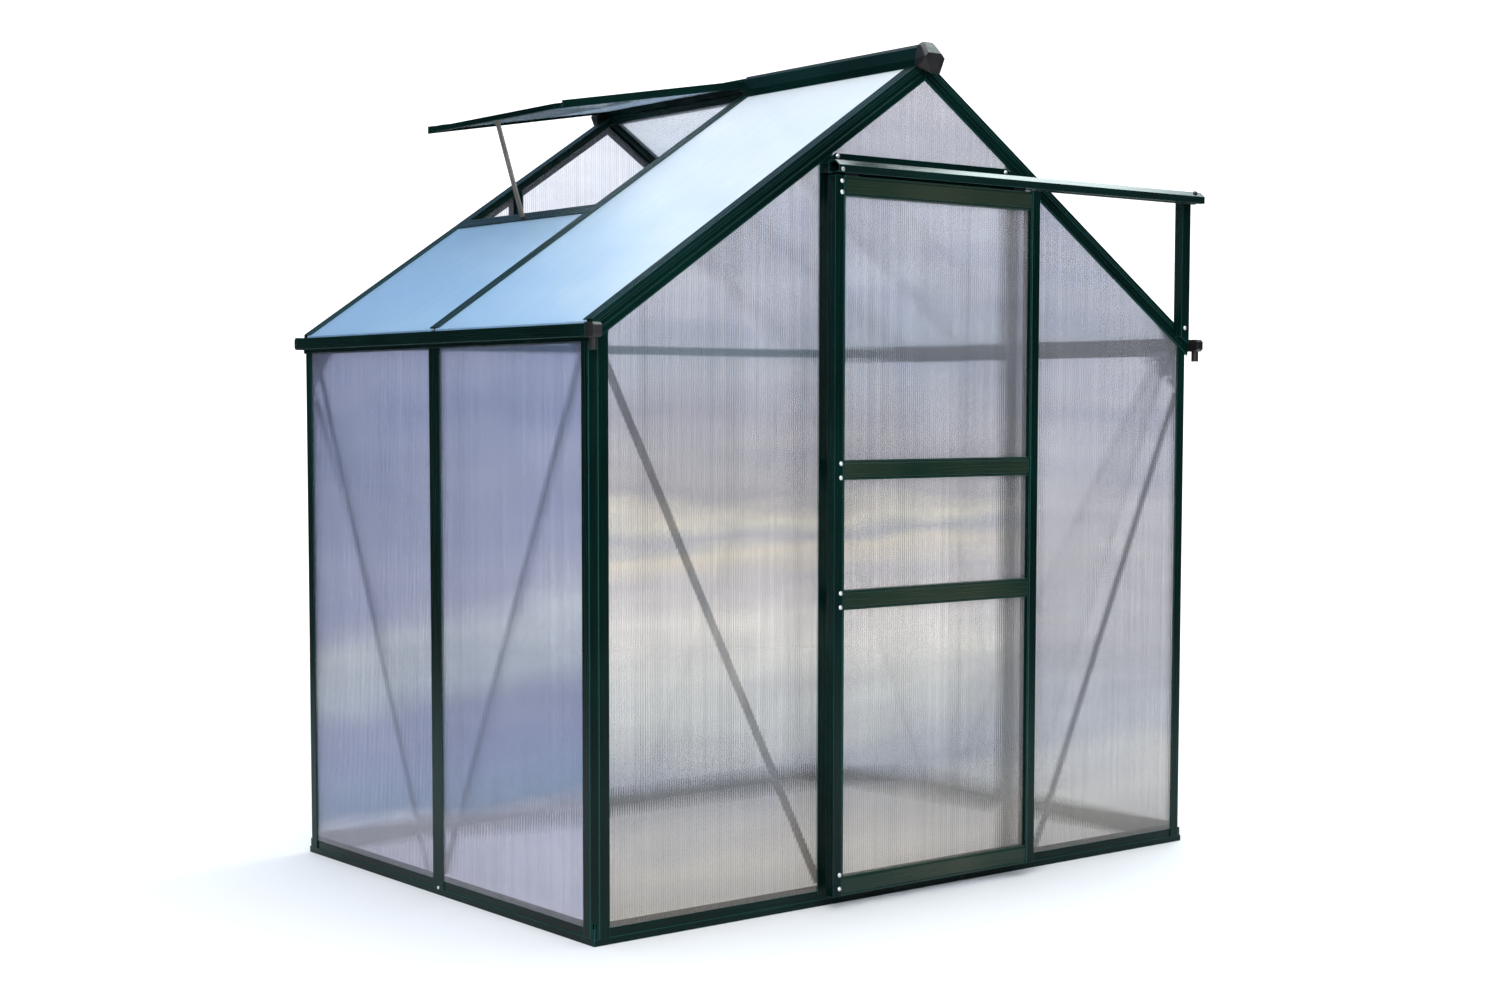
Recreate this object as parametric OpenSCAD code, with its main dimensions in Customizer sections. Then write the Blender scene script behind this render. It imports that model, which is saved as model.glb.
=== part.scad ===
// Small polycarbonate greenhouse: an aluminium frame of flanged sections that clamp
// twin-wall sheets, two gutters, a roof vent propped open and a door that slides
// sideways on rollers in a slotted track across the front gable.
// X runs along the front gable, Y runs from front to back, Z is up from the ground.

/* [House] */
// Width between the outer faces of the side walls
house_w = 1900; // [1600:10:2400]
// Depth between the outer faces of the gable walls
house_d = 1290; // [1000:10:2400]
// Height of the roof line over the outer faces of the side walls
eave_z = 1335; // [1200:5:1600]
// Pitch of the roof in degrees
roof_pitch = 33.5; // [28:0.5:38]

/* [Sections] */
// Thickness of the flanges that cover the sheet edges
flange_t = 2; // [1.5:0.5:3]
// Thickness of the twin-wall sheet
sheet_t = 4; // [3:0.5:6]
// Side of the hollow square tube inside posts and rafters
tube = 20; // [16:1:26]
// Wall of the hollow tubes
tube_wall = 2.5; // [1.5:0.5:4]
// Room between a sheet edge and the tube or web beside it
edge_gap = 2; // [1:0.5:4]
// Room between a sheet and the flange over it, or the floor of the groove that holds it
sheet_room = 0.1; // [0.05:0.05:0.5]
// Width of each leg of a corner post
corner_leg = 40; // [34:1:60]
// Chamfer along the outer arris of a corner post
arris = 12; // [4:1:12]
// How far the raised strips of a corner post stand out
strip_out = 1.2; // [0.5:0.1:2]
// Width of the cover flange on the posts between the corners
mid_post_w = 46; // [36:1:60]
// Width of the web behind a cover flange
web_w = 16; // [8:1:20]
// Depth of the front face of a gable rafter, square to the slope
rafter_face = 42; // [38:1:60]
// Depth of the hollow tube of a gable rafter, square to the slope
rafter_tube = 20; // [14:1:32]
// How far the beads and the raised band of a rafter's face stand out
bead_out = 2; // [1:0.5:3]
// Height of each of the two beads along the top of a rafter's face
bead_h = 5; // [3:0.5:6]
// Height of the raised band along the foot of a rafter's face
band_h = 14; // [8:1:16]
// Width of the rafter's top flange over the roof sheets
rafter_top = 36; // [30:1:50]
// Width of the cover flange of a roof bar
roof_bar_w = 40; // [32:1:60]
// Depth of the web of a roof bar
roof_bar_web = 14; // [10:1:30]

/* [Sill] */
// Height of the plain band at the foot of the sill
sill_band = 15; // [12:1:26]
// Height of the ledge that the sheets stand on
sill_ledge = 36; // [28:1:60]
// Height of the upstand behind the sheets
sill_upstand = 48; // [40:1:80]
// Width of the foot that lies on the ground
sill_foot = 34; // [28:1:60]
// Thickness of the foot and of the upstand
sill_t = 3; // [2:0.5:5]

/* [Gutter] */
// How far a gutter stands out from the side wall
gutter_out = 20; // [16:1:50]
// Depth of the trough
gutter_h = 27; // [22:1:40]
// Thickness of the gutter walls
gutter_t = 2; // [1.5:0.5:3]
// Height of the gutter's cover flange that hangs below the trough
gutter_lap = 10; // [6:1:16]
// Width of the lining beam inside the gutter
eave_beam_w = 18; // [12:1:30]
// How far an end cap with a spout stands out from the front gable
end_cap = 34; // [20:1:50]
// How far a plain end cap stands out from the back gable
back_cap = 12; // [8:1:30]
// Outer diameter of the spout under an end cap
spout_d = 18; // [14:1:22]
// Length of the spout
spout_h = 26; // [10:1:34]

/* [Ridge] */
// Half width of the ridge capping
ridge_half = 29; // [24:1:60]
// Height of the capping over the roof line
ridge_h = 33; // [26:1:50]
// Half width of the flat along the top of the capping
ridge_flat = 13; // [6:1:15]
// Width of the bevel beside that flat
ridge_bevel = 8; // [4:1:9]
// Depth of the beam under the capping
ridge_beam = 25; // [16:1:70]
// Length of the hoods at the two ends of the ridge
hood = 34; // [20:1:50]
// How far a hood stands proud of the capping around it
hood_lip = 4; // [2:0.5:8]
// How far the top of a hood falls towards its front
hood_fall = 28; // [10:1:36]
// Height of the front of a hood
hood_face = 46; // [30:1:60]

/* [Roof vent] */
// Length of the vent down its slope
vent_len = 590; // [400:5:700]
// Slope of the propped vent in degrees below level
vent_pitch = 9.8; // [4:0.1:16]
// Depth of the vent's top below the top of the ridge capping, at the hinge
vent_sink = 6; // [2:1:12]
// Depth of the vent's rim
vent_rim = 19; // [16:1:34]
// How far the rim hangs below the vent's sheet
vent_lip = 6; // [3:1:9]
// Width of the bars that lie on the edges of the vent's sheet
vent_flange = 25; // [18:1:36]
// Thickness of the rim's walls
vent_wall = 4; // [2:0.5:6]
// Width of the bar along the vent's free edge
vent_box = 28; // [20:1:40]
// Distance of that bar's ends from the vent's sides
vent_end = 37; // [26:1:60]
// Depth of that bar's top below the top of the rim
vent_step = 4; // [0:1:6]
// Distance of the vent's sides from the middle of the roof bar and from the gable's face
vent_inset = 5; // [3:1:12]
// How far the vent laps over the middle of the cross bar under it
vent_lap = 97; // [60:1:140]
// Width of the stay that props the vent
stay_w = 16; // [10:1:24]
// Thickness of the stay
stay_t = 4; // [2:0.5:6]

/* [Doorway] */
// Distance from the middle of the gable to the inner faces of the jambs
door_half = 287; // [240:1:340]
// Width of the flange of a jamb
jamb_w = 36; // [30:1:50]
// Room between the header's upper corners and the rafters over them
header_room = 4; // [2:1:10]
// Depth of the header's underside below the rafters, beside the jambs
header_drop = 83; // [70:1:110]
// Height of the header's front face in the middle of the doorway
header_h = 86; // [60:1:100]
// Height of the header's hollow tube
header_tube = 50; // [36:1:54]

/* [Sliding door] */
// Width of the door
door_w = 656; // [600:1:720]
// Height of the door's bottom edge over the ground
door_foot = 32; // [20:1:60]
// Depth of the door frame from front to back
door_t = 26; // [20:1:34]
// Clear space between the door and the front wall
door_gap = 34; // [30:1:60]
// Running room round the moving door
door_room = 6; // [5:0.5:10]
// Width of the door's stiles
stile_w = 30; // [24:1:44]
// Height of the door's rails
rail_h = 45; // [36:1:60]
// Height of the underside of the lower middle rail
low_rail_z = 690; // [500:5:780]
// Height of the underside of the upper middle rail
high_rail_z = 986; // [850:5:1200]
// How far the sheets are let into the door frame
let_in = 8; // [4:1:12]
// Height of the bead along the top of a rail and of the groove along its foot
rail_bead = 3; // [2:0.5:4]

/* [Door track] */
// Height of the track's underside over the header's underside
track_lift = 35; // [10:1:45]
// Height of the track
track_h = 29; // [27:1:50]
// Wall of the track
track_t = 3; // [2:0.5:4]
// Height of the sloped strip along the top edge of the track
track_slope = 12; // [4:1:13]
// Width of the slot under the track
track_slot = 12; // [8:1:14]
// Distance of the track's right end from the outer face of the side wall
track_in = 22; // [10:1:28]
// Diameter of the door's rollers
roller_d = 14; // [10:1:16]
// Running room under and beside a roller
roller_gap = 0.3; // [0.2:0.1:1]
// Side of the angle that carries the track's right end
support_w = 30; // [20:1:44]
// Distance of that angle from the outer face of the side wall
support_in = 59; // [50:1:120]
// Depth of that angle's foot on the rafter, square to the slope
support_foot = 32; // [20:1:36]

/* [Braces] */
// Width of the flat braces inside the walls
brace_w = 20; // [12:1:30]
// Thickness of the braces and gusset plates
brace_t = 2; // [1.5:0.5:4]
// Leg of the gusset plates under the gutters
gusset = 95; // [60:1:140]
// Leg of the gusset plates under the rafters
rafter_gusset = 72; // [50:1:120]
// How far the right brace of a gable ends below the left one
brace_drop = 95; // [0:1:200]
// Distance of the right brace's foot from the jamb beside it
brace_step = 76; // [40:1:160]
// Distance of a side brace's foot from the middle of the wall
side_step = 62; // [40:1:160]
// Distance of a side brace's head from the corner
side_head = 60; // [50:1:120]
// Height of the tie across the back gable
tie_h = 24; // [16:1:40]
// Thickness of the tie
tie_t = 3; // [2:0.5:5]

/* [Hidden] */

frame_colour = "#17362f";
sheet_colour = "#c9ccd8";
cap_colour = "#2b2a2c";
bare_metal = "#a9adb3";

half_w = house_w / 2;
mid_y = house_d / 2;
past = 1;

// Depths measured inwards from the outer face of a wall, or down from the roof line
sheet_in = flange_t + sheet_t;
tube_in = flange_t + tube;
sheet_edge = tube_in + edge_gap;
brace_in = tube_in + brace_t;
gusset_in = brace_in + brace_t;
web_edge = web_w / 2 + edge_gap;
rafter_in = flange_t + rafter_tube;
gable_edge = rafter_in + edge_gap;
bar_in = flange_t + roof_bar_web;
beam_in = sheet_in + eave_beam_w;

// Heights
slope = tan(roof_pitch);
ridge_z = eave_z + slope * half_w;
gutter_top = eave_z - sheet_in / cos(roof_pitch) - edge_gap;
gutter_floor = gutter_top - gutter_h;
gutter_foot = gutter_floor - gutter_lap;
wall_sheet_top = gutter_floor;
beam_foot = gutter_foot - sill_t;
cap_top = ridge_z + ridge_h;
header_z = ridge_z - slope * door_half - rafter_face / cos(roof_pitch) - header_drop;
track_z = header_z + track_lift;

// The roof vent lies over the back half of the left slope
vent_front = mid_y + vent_inset;
vent_back = house_d - vent_inset;
vent_mid = (vent_front + vent_back) / 2;
vent_x = vent_len * cos(vent_pitch);
vent_edge = vent_len - vent_box;
hinge_wall = vent_wall + vent_rim * tan(vent_pitch);
stay_x = vent_x - vent_box / 2;
pane_foot = vent_rim - vent_lip;
pane_top = pane_foot - sheet_t;
edge_foot = pane_foot + 2 * flange_t;
vent_bar_x = vent_len - vent_lap;

// Places of the jambs and of the door
jamb_out = door_half + jamb_w;
jamb_tube = door_half + tube;
jamb_sheet = jamb_tube + edge_gap;
door_back = -door_gap;
door_front = door_back - door_t;
door_mid = door_back - door_t / 2;
door_top = track_z - door_room;
sheet_lip = sheet_t / 2;
track_end = half_w - track_in;
track_back = -(door_gap - door_room);
track_front = 2 * door_mid - track_back - flange_t;
strip_y = track_front + 1.2 * track_slope;

// The origin lies on the ground in the middle of the box round the whole object
front_reach = -track_front;
back_reach = max(back_cap, hood);
shift_y = (front_reach - house_d - back_reach) / 2;

function roof_z(x, down = 0) = ridge_z - slope * abs(x) - down / cos(roof_pitch);
function vent_z(x, down = 0) = cap_top - vent_sink - tan(vent_pitch) * abs(x) - down / cos(vent_pitch);

// An outline in X and Z, carried along Y
module plate(points, y1, y2) {
    translate([0, y2, 0])
        rotate([90, 0, 0])
            linear_extrude(y2 - y1)
                polygon(points);
}

// An outline in Y and Z, carried along X
module bar(points, x1, x2) {
    translate([x1, 0, 0])
        rotate([90, 0, 90])
            linear_extrude(x2 - x1)
                polygon(points);
}

module block(low, high) {
    translate(low)
        cube(high - low);
}

// A layer of one roof slope, between two distances from the ridge and two depths
module roof_layer(side, x1, x2, down1, down2, y1, y2) {
    plate([
        [side * x1, roof_z(x1, down1)],
        [side * x2, roof_z(x2, down1)],
        [side * x2, roof_z(x2, down2)],
        [side * x1, roof_z(x1, down2)]
    ], y1, y2);
}

// The vent is drawn level, with its hinge at x = 0 and its top at z = 0, then tilted with upright ends
module on_vent() {
    intersection() {
        translate([0, 0, vent_z(0)])
            rotate([0, -vent_pitch, 0])
                children();
        block([-vent_x, 0, 0], [0, house_d, cap_top]);
    }
}

// A strip of the level vent, between two distances from the hinge and two depths
module vent_strip(near, far, down1, down2, y1, y2) {
    block([-far, y1, -down2], [-near, y2, -down1]);
}

// An upright strip of a gable wall that stops at a depth below the roof line
module gable_strip(x1, x2, foot, down, in1, in2) {
    plate([[x1, foot], [x2, foot], [x2, roof_z(x2, down)], [x1, roof_z(x1, down)]], in1, in2);
}

// Each wall is drawn as the front one: X along the wall, Y inwards from its outer face
module house() {
    translate([0, shift_y, 0])
        children();
}

module at_back() {
    translate([0, house_d, 0])
        rotate([0, 0, 180])
            children();
}

module at_left() {
    translate([-half_w, mid_y, 0])
        rotate([0, 0, -90])
            children();
}

module at_right() {
    translate([half_w, mid_y, 0])
        rotate([0, 0, 90])
            children();
}

// Sill: foot, plain band, ledge for the sheets and the upstand behind them, mitred
module sill(length) {
    half = length / 2;
    inner = sheet_in + sill_t;
    intersection() {
        bar([
            [0, 0], [sill_foot, 0], [sill_foot, sill_t], [inner, sill_t], [inner, sill_upstand],
            [sheet_in, sill_upstand], [sheet_in, sill_ledge], [flange_t, sill_ledge],
            [flange_t, sill_band], [0, sill_band]
        ], -half, half);
        linear_extrude(sill_upstand)
            polygon([[-half, 0], [half, 0], [half - sill_foot, sill_foot], [sill_foot - half, sill_foot]]);
    }
}

// Corner post at the left end of a front wall: two flanges with raised strips, a tube
// and a chamfered arris
module corner_post() {
    outer = -half_w;
    strip = arris + flange_t;
    difference() {
        union() {
            gable_strip(outer, outer + corner_leg, sill_band, rafter_face, 0, flange_t);
            block([outer, 0, sill_band], [outer + flange_t, corner_leg, gutter_foot]);
            gable_strip(outer + flange_t, outer + tube_in, sill_upstand, rafter_in, flange_t, tube_in);
            gable_strip(outer + strip, outer + corner_leg, sill_band, rafter_face, -strip_out, past);
            block([outer - strip_out, strip, sill_band], [outer + past, corner_leg, gutter_foot]);
        }
        block(
            [outer + flange_t + 2 * tube_wall, flange_t + 2 * tube_wall, 0],
            [outer + tube_in - tube_wall, tube_in - tube_wall, ridge_z]
        );
        translate([outer, 0, 0])
            linear_extrude(ridge_z)
                polygon([[-past, -past], [arris + past, -past], [-past, arris + past]]);
        block([outer - past, -past, roof_z(half_w, rafter_face)], [outer + flange_t, flange_t, ridge_z]);
    }
}

// Post of a side wall: cover flange and web, up to the gutter
module side_post() {
    plate([
        [-mid_post_w / 2, sill_band], [mid_post_w / 2, sill_band],
        [mid_post_w / 2, gutter_foot], [-mid_post_w / 2, gutter_foot]
    ], 0, flange_t);
    block([-web_w / 2, flange_t, sill_upstand], [web_w / 2, tube_in, beam_foot]);
}

// Stud of the back gable: cover flange and web, up to the rafter
module gable_stud(side) {
    middle = side * (door_half + jamb_w / 2);
    gable_strip(middle - mid_post_w / 2, middle + mid_post_w / 2, sill_band, rafter_face, 0, flange_t);
    gable_strip(middle - web_w / 2, middle + web_w / 2, sill_upstand, rafter_in, flange_t, tube_in);
}

// Door jamb: cover flange with a hollow tube on the doorway's side
module jamb(side) {
    difference() {
        union() {
            gable_strip(side * door_half, side * jamb_out, sill_band, rafter_face, 0, flange_t);
            gable_strip(side * door_half, side * jamb_tube, sill_upstand, rafter_in, flange_t, tube_in);
        }
        plate([
            [side * (door_half + tube_wall), sill_upstand - past],
            [side * (jamb_tube - tube_wall), sill_upstand - past],
            [side * (jamb_tube - tube_wall), ridge_z],
            [side * (door_half + tube_wall), ridge_z]
        ], flange_t + tube_wall, tube_in - tube_wall);
    }
}

// Section of a gable rafter in Y and in height over the roof line: the tube and the top flange
// over the roof sheets, then up the front face a raised band and two beads that slope to the sky
band_low = sill_t - rafter_face;
band_top = band_low + band_h;
bead_top = -2 * flange_t;
bead_next = bead_top - bead_h - past;
rafter_section = [
    [0, 0], [rafter_top, 0], [rafter_top, -flange_t], [tube_in, -flange_t],
    [tube_in, -rafter_in], [flange_t, -rafter_in], [flange_t, -rafter_face], [0, -rafter_face],
    [0, band_low], [-bead_out, band_low], [-bead_out, band_top - bead_out], [0, band_top],
    [0, bead_next - bead_h], [-bead_out, bead_next - bead_h], [0, bead_next],
    [0, bead_top - bead_h], [-bead_out, bead_top - bead_h], [0, bead_top]
];

// Gable rafter: its section carried down the slope and cut upright at both ends, with a hollow tube
module rafter(side) {
    end = half_w - flange_t;
    difference() {
        intersection() {
            mirror([side < 0 ? 1 : 0, 0, 0])
                translate([0, 0, ridge_z])
                    rotate([0, roof_pitch, 0])
                        bar(rafter_section, -past, end / cos(roof_pitch) + rafter_face);
            block(
                [min(0, side * end), -bead_out - past, 0],
                [max(0, side * end), rafter_top + past, ridge_z + past]
            );
        }
        roof_layer(side, tube_wall, end + past, flange_t + tube_wall, rafter_in - tube_wall,
            flange_t + tube_wall, tube_in - tube_wall);
    }
}

// Roof bar: cover flange and web, from the ridge to the beam inside the gutter
module roof_bar(side) {
    roof_layer(side, 0, half_w - flange_t, 0, flange_t, mid_y - roof_bar_w / 2, mid_y + roof_bar_w / 2);
    roof_layer(side, 0, half_w - sheet_in, flange_t / 2, bar_in, mid_y - web_w / 2, mid_y + web_w / 2);
}

// Gutter of a side wall: trough, cover flange, and a beam inside that seats the roof bar
module gutter() {
    lip = 2 * gutter_t;
    bar_half = mid_y - sheet_edge;
    bar([
        [-gutter_out, gutter_floor], [0, gutter_floor], [0, gutter_foot], [flange_t, gutter_foot],
        [flange_t, gutter_top], [0, gutter_top], [0, gutter_floor + gutter_t],
        [-gutter_out + gutter_t, gutter_floor + gutter_t], [-gutter_out + gutter_t, gutter_top - gutter_t],
        [-gutter_out + lip, gutter_top - gutter_t], [-gutter_out + lip, gutter_top],
        [-gutter_out, gutter_top]
    ], -mid_y, mid_y);
    bar([
        [flange_t, wall_sheet_top + edge_gap], [sheet_in, wall_sheet_top + edge_gap],
        [sheet_in, beam_foot], [beam_in, beam_foot],
        [beam_in, roof_z(half_w - beam_in, bar_in)], [sheet_in, roof_z(half_w - sheet_in, bar_in)],
        [flange_t, roof_z(half_w - sheet_in, bar_in)]
    ], -bar_half, bar_half);
}

// Plain end cap of a gutter, at the left end of a front wall
module gutter_cap(reach) {
    inner = -half_w + flange_t;
    outer = -half_w - gutter_out;
    low = gutter_floor - gutter_t;
    high = gutter_top + gutter_t;
    bevel = 3 * gutter_t;
    difference() {
        bar([
            [0, low], [0, high], [bevel - reach, high], [-reach, high - bevel],
            [-reach, low + bevel], [bevel - reach, low]
        ], outer, inner);
        block([outer + gutter_t, bevel - reach, gutter_floor], [inner - gutter_t, past, gutter_top]);
    }
}

// End cap with an open spout under it
module spout_cap() {
    middle = -half_w + (flange_t - gutter_out) / 2;
    foot = gutter_floor - gutter_t - spout_h;
    difference() {
        union() {
            gutter_cap(end_cap);
            translate([middle, -end_cap / 2, foot])
                cylinder(d = spout_d, h = spout_h + gutter_t, $fn = 32);
        }
        translate([middle, -end_cap / 2, foot - past])
            cylinder(d = spout_d - 2 * gutter_t, h = spout_h + 3 * gutter_t, $fn = 32);
    }
}

// Outline of one half of the ridge capping, standing on the roof line
function ridge_half_outline(side, lip = 0) = [
    [0, roof_z(0)],
    [side * (ridge_half + lip), roof_z(ridge_half + lip)],
    [side * (ridge_half + lip), roof_z(ridge_half) + ridge_h / 2],
    [side * (ridge_flat + ridge_bevel + lip), cap_top - ridge_bevel + lip],
    [side * ridge_flat, cap_top + lip],
    [0, cap_top + lip]
];

// Wall sheets of a front gable, on one side of the doorway
module gable_side_sheet(side, inner) {
    gable_strip(side * inner, side * (half_w - sheet_edge), sill_ledge, gable_edge, flange_t, sheet_in);
}

// Sheet in the middle of a gable, from a height up to the ridge
module gable_middle_sheet(half, foot) {
    plate([
        [-half, foot], [half, foot], [half, roof_z(half, gable_edge)],
        [0, roof_z(0, gable_edge)], [-half, roof_z(half, gable_edge)]
    ], flange_t, sheet_in);
}

// Both sheets of a side wall
module side_sheets() {
    for (side = [-1, 1])
        block_pair(side, web_edge, mid_y - sheet_edge);
}

module block_pair(side, near, far) {
    low = min(side * near, side * far);
    high = max(side * near, side * far);
    block([low, flange_t, sill_ledge], [high, sheet_in, wall_sheet_top]);
}

// A flat brace between two points of a wall, with level ends
module brace(foot, head) {
    run = norm(head - foot);
    half = brace_w / 2 * run / (head[1] - foot[1]);
    plate([
        foot - [half, 0], foot + [half, 0], head + [half, 0], head - [half, 0]
    ], tube_in, brace_in);
}

// Rim of the vent: upright walls on three sides, bars that lie on the sheet, and along the free edge
// a lower bar that is let in between the walls on a narrow tongue
module vent_rim_shape() {
    tongue = vent_edge + vent_wall;
    end = vent_len + vent_rim;
    for (y = [vent_front, vent_back - vent_wall])
        vent_strip(-vent_rim, end, 0, vent_rim, y, y + vent_wall);
    for (y = [vent_front, vent_back - vent_flange])
        vent_strip(-vent_rim, vent_edge, 0, pane_top, y, y + vent_flange);
    vent_strip(-vent_rim, hinge_wall, 0, vent_rim, vent_front, vent_back);
    vent_strip(-vent_rim, vent_flange, 0, pane_top, vent_front, vent_back);
    vent_strip(tongue, tongue + vent_box / 2, pane_foot, edge_foot, vent_front, vent_back);
    difference() {
        vent_strip(vent_edge, end, vent_step, edge_foot, vent_front + vent_end, vent_back - vent_end);
        vent_strip(vent_edge - past, vent_edge + let_in, pane_top, pane_foot, vent_front, vent_back);
    }
}

module front_sill() {
    color(frame_colour) house() sill(house_w);
}

module back_sill() {
    color(frame_colour) house() at_back() sill(house_w);
}

module left_sill() {
    color(frame_colour) house() at_left() sill(house_d);
}

module right_sill() {
    color(frame_colour) house() at_right() sill(house_d);
}

module front_left_post() {
    color(frame_colour) house() corner_post();
}

module front_right_post() {
    color(frame_colour) house() mirror([1, 0, 0]) corner_post();
}

module back_left_post() {
    color(frame_colour) house() at_back() mirror([1, 0, 0]) corner_post();
}

module back_right_post() {
    color(frame_colour) house() at_back() corner_post();
}

module left_middle_post() {
    color(frame_colour) house() at_left() side_post();
}

module right_middle_post() {
    color(frame_colour) house() at_right() side_post();
}

module back_studs() {
    color(frame_colour) house() at_back() {
        for (side = [-1, 1])
            gable_stud(side);
    }
}

module door_jambs() {
    color(frame_colour) house() {
        for (side = [-1, 1])
            jamb(side);
    }
}

// Header: a front face whose upper corners follow the rafters, and a hollow tube
module door_header() {
    under = rafter_face + header_room;
    color(frame_colour) house() difference() {
        union() {
            intersection() {
                block([-door_half, 0, header_z], [door_half, flange_t, header_z + header_h]);
                plate([
                    [-half_w, 0], [half_w, 0], [half_w, roof_z(half_w, under)], [0, roof_z(0, under)],
                    [-half_w, roof_z(half_w, under)]
                ], -past, flange_t + past);
            }
            block([-door_half, flange_t, header_z], [door_half, tube_in, header_z + header_tube]);
        }
        block(
            [-door_half - past, flange_t + tube_wall, header_z + tube_wall],
            [door_half + past, tube_in - tube_wall, header_z + header_tube - tube_wall]
        );
    }
}

module front_left_rafter() {
    color(frame_colour) house() rafter(-1);
}

module front_right_rafter() {
    color(frame_colour) house() rafter(1);
}

module back_left_rafter() {
    color(frame_colour) house() at_back() rafter(1);
}

module back_right_rafter() {
    color(frame_colour) house() at_back() rafter(-1);
}

module left_roof_bar() {
    color(frame_colour) house() roof_bar(-1);
}

module right_roof_bar() {
    color(frame_colour) house() roof_bar(1);
}

module left_gutter() {
    color(frame_colour) house() at_left() gutter();
}

module right_gutter() {
    color(frame_colour) house() at_right() gutter();
}

module gutter_end_caps() {
    color(cap_colour) house() {
        for (turn = [0, 1])
            mirror([turn, 0, 0]) {
                spout_cap();
                at_back() gutter_cap(back_cap);
            }
    }
}

module ridge() {
    color(frame_colour) house() {
        plate(ridge_half_outline(1), 0, house_d);
        plate(ridge_half_outline(-1), 0, vent_front - edge_gap);
        roof_layer(1, 0, ridge_half, 0, flange_t, rafter_top, mid_y - roof_bar_w / 2);
        roof_layer(-1, 0, ridge_half, 0, flange_t, rafter_top, mid_y - roof_bar_w / 2);
        roof_layer(1, 0, ridge_half, 0, flange_t, mid_y + roof_bar_w / 2, house_d - rafter_top);
        for (bay = [[tube_in, mid_y - web_w / 2], [mid_y + web_w / 2, house_d - tube_in]])
            plate([
                [-web_w / 2, ridge_z - ridge_beam], [web_w / 2, ridge_z - ridge_beam],
                [web_w / 2, roof_z(web_w / 2, flange_t)], [0, roof_z(0, flange_t)],
                [-web_w / 2, roof_z(web_w / 2, flange_t)]
            ], bay[0], bay[1]);
    }
}

module ridge_hoods() {
    color(cap_colour) house() {
        ridge_hood();
        at_back() ridge_hood();
    }
}

// Hood that closes the ridge's front end: a rim round the capping, drawn in to a shield at its front
module ridge_hood() {
    half = ridge_half + hood_lip / 2;
    high = cap_top + hood_lip - hood_fall;
    shoulder = high - ridge_bevel - flange_t;
    low = high - hood_face;
    for (turn = [0, 1])
        mirror([turn, 0, 0])
            plate(ridge_half_outline(1, hood_lip), -bead_out, 0);
    hull() {
        for (turn = [0, 1])
            mirror([turn, 0, 0])
                plate(ridge_half_outline(1, hood_lip), -hood / 3, -bead_out);
        plate([
            [-ridge_flat - ridge_bevel, high], [ridge_flat + ridge_bevel, high], [half, shoulder],
            [half / 2, low], [-half / 2, low], [-half, shoulder]
        ], -hood, flange_t - hood);
    }
}

module front_wall_sheets() {
    color(sheet_colour, 0.6) house() {
        for (side = [-1, 1])
            gable_side_sheet(side, jamb_sheet);
        gable_middle_sheet(door_half - edge_gap, header_z + header_tube + edge_gap);
    }
}

module back_wall_sheets() {
    stud = door_half + jamb_w / 2;
    color(sheet_colour, 0.6) house() at_back() {
        for (side = [-1, 1])
            gable_side_sheet(side, stud + web_edge);
        gable_middle_sheet(stud - web_edge, sill_ledge);
    }
}

module left_wall_sheets() {
    color(sheet_colour, 0.6) house() at_left() side_sheets();
}

module right_wall_sheets() {
    color(sheet_colour, 0.6) house() at_right() side_sheets();
}

sheet_top_x = web_w / 2 + edge_gap;
sheet_low_x = half_w + edge_gap;
sheet_roof = flange_t + sheet_room;

module left_roof_sheets() {
    below_bar = vent_bar_x + web_w / 2 + edge_gap;
    color(sheet_colour, 0.6) house() {
        roof_layer(-1, sheet_top_x, sheet_low_x, sheet_roof, sheet_in, sheet_edge, mid_y - web_edge);
        roof_layer(-1, below_bar, sheet_low_x, sheet_roof, sheet_in, mid_y + web_edge, house_d - sheet_edge);
    }
}

module right_roof_sheets() {
    color(sheet_colour, 0.6) house() {
        roof_layer(1, sheet_top_x, sheet_low_x, sheet_roof, sheet_in, sheet_edge, mid_y - web_edge);
        roof_layer(1, sheet_top_x, sheet_low_x, sheet_roof, sheet_in, mid_y + web_edge, house_d - sheet_edge);
    }
}

module vent_cross_bar() {
    near = vent_bar_x - roof_bar_w / 2 * cos(roof_pitch);
    far = vent_bar_x + roof_bar_w / 2 * cos(roof_pitch);
    color(frame_colour) house() {
        roof_layer(-1, near, far, 0, flange_t, mid_y + roof_bar_w / 2, house_d - rafter_top);
        roof_layer(-1, vent_bar_x - web_w / 2, vent_bar_x + web_w / 2, flange_t, bar_in,
            mid_y + web_w / 2, house_d - tube_in);
        roof_layer(-1, vent_bar_x - web_w / 2, vent_bar_x + web_w / 2, flange_t / 2, bar_in,
            mid_y + roof_bar_w / 2, house_d - rafter_top);
    }
}

module vent_frame() {
    color(frame_colour) house() on_vent() vent_rim_shape();
}

module vent_sheet() {
    color(sheet_colour, 0.6) house() on_vent()
        vent_strip(hinge_wall, vent_edge + let_in, pane_top, pane_foot,
            vent_front + vent_wall, vent_back - vent_wall);
}

// Flat stay between the bar of the vent's free edge and the flange of the cross bar
module vent_stay() {
    head = stay_x;
    foot = vent_bar_x;
    half = stay_t / 2;
    color(bare_metal) house() plate([
        [-head - half, vent_z(head + half, edge_foot)], [-head + half, vent_z(head - half, edge_foot)],
        [-foot + half, roof_z(foot - half)], [-foot - half, roof_z(foot + half)]
    ], vent_mid - stay_w / 2, vent_mid + stay_w / 2);
}

module wall_braces() {
    color(bare_metal) house() {
        gable_braces();
        at_back() gable_braces();
        at_left() side_braces(1);
        at_right() side_braces(-1);
    }
}

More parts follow.
